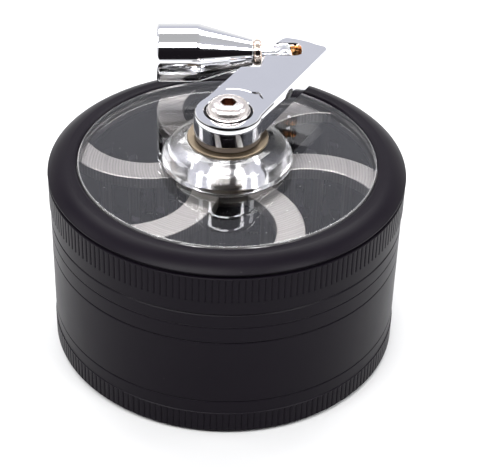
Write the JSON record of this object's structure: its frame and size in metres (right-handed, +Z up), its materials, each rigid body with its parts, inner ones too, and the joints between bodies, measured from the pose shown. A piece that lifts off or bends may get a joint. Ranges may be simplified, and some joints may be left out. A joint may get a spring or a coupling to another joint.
{
  "type": "hand-crank herb grinder",
  "caption": "Round stacked grinder with knurled screw cups, a sieve, a clear lid window and a folding crank that turns a toothed rotor.",
  "frame": {"origin": "centre of the face the object stands on, on the crank's axis", "axes": "+Z up along the crank's axis; the folded knob points close to -X and the crank arm lies 62.5 degrees from +X towards +Y"},
  "size_m": [0.063, 0.063, 0.0508],
  "materials": {
    "anodised_black": "satin black anodised",
    "clear_acrylic": "clear polished",
    "bare_aluminium": "fine turned",
    "chrome_plate": "polished",
    "steel": "satin",
    "spring_steel": "satin",
    "steel_mesh": "fine woven mesh",
    "brass": "turned",
    "nylon": "natural",
    "rubber_black": "matte"
  },
  "bodies": {
    "base": {"base_cup": "anodised_black"},
    "storage": {"storage_cup": "anodised_black", "sieve_mesh": "steel_mesh", "sieve_clip": "spring_steel"},
    "chamber": {"chamber_cup": "anodised_black", "chamber_teeth": "anodised_black", "lid_o_ring": "rubber_black"},
    "lid": {"lid_ring": "anodised_black", "window_gasket": "rubber_black", "window": "clear_acrylic", "window_clip": "spring_steel", "bearing_bush": "brass"},
    "crank": {"crank_arm": "chrome_plate", "crank_screw": "chrome_plate", "hinge_pin": "steel", "upper_washer": "nylon", "lower_washer": "nylon", "spindle": "steel", "rotor": "bare_aluminium", "rotor_teeth": "bare_aluminium", "rotor_washer": "steel", "rotor_screw": "steel"},
    "knob": {"knob_stem": "chrome_plate", "knob_collar": "chrome_plate", "knob_screw": "steel"},
    "grip": {"knob_grip": "chrome_plate"}
  },
  "joints": [
    {"name": "storage_unscrew", "type": "slide", "parent": "base", "child": "storage", "axis": [0, 0, 1], "range_m": [0, 0.015]},
    {"name": "chamber_unscrew", "type": "slide", "parent": "storage", "child": "chamber", "axis": [0, 0, 1], "range_m": [0, 0.015]},
    {"name": "lid_lift", "type": "slide", "parent": "chamber", "child": "lid", "axis": [0, 0, 1], "range_m": [0, 0.025]},
    {"name": "crank_turn", "type": "hinge", "parent": "lid", "child": "crank", "pos_m": [0, 0, 0.043], "axis": [0, 0, 1], "continuous": true},
    {"name": "knob_fold", "type": "hinge", "parent": "crank", "child": "knob", "pos_m": [0.00981, 0.0219, 0.04475], "axis": [-0.0576, 0.9983, 0], "range_deg": [0, 90]},
    {"name": "grip_spin", "type": "hinge", "parent": "knob", "child": "grip", "pos_m": [0.00981, 0.0219, 0.04535], "axis": [-0.9983, -0.0576, 0], "continuous": true}
  ]
}
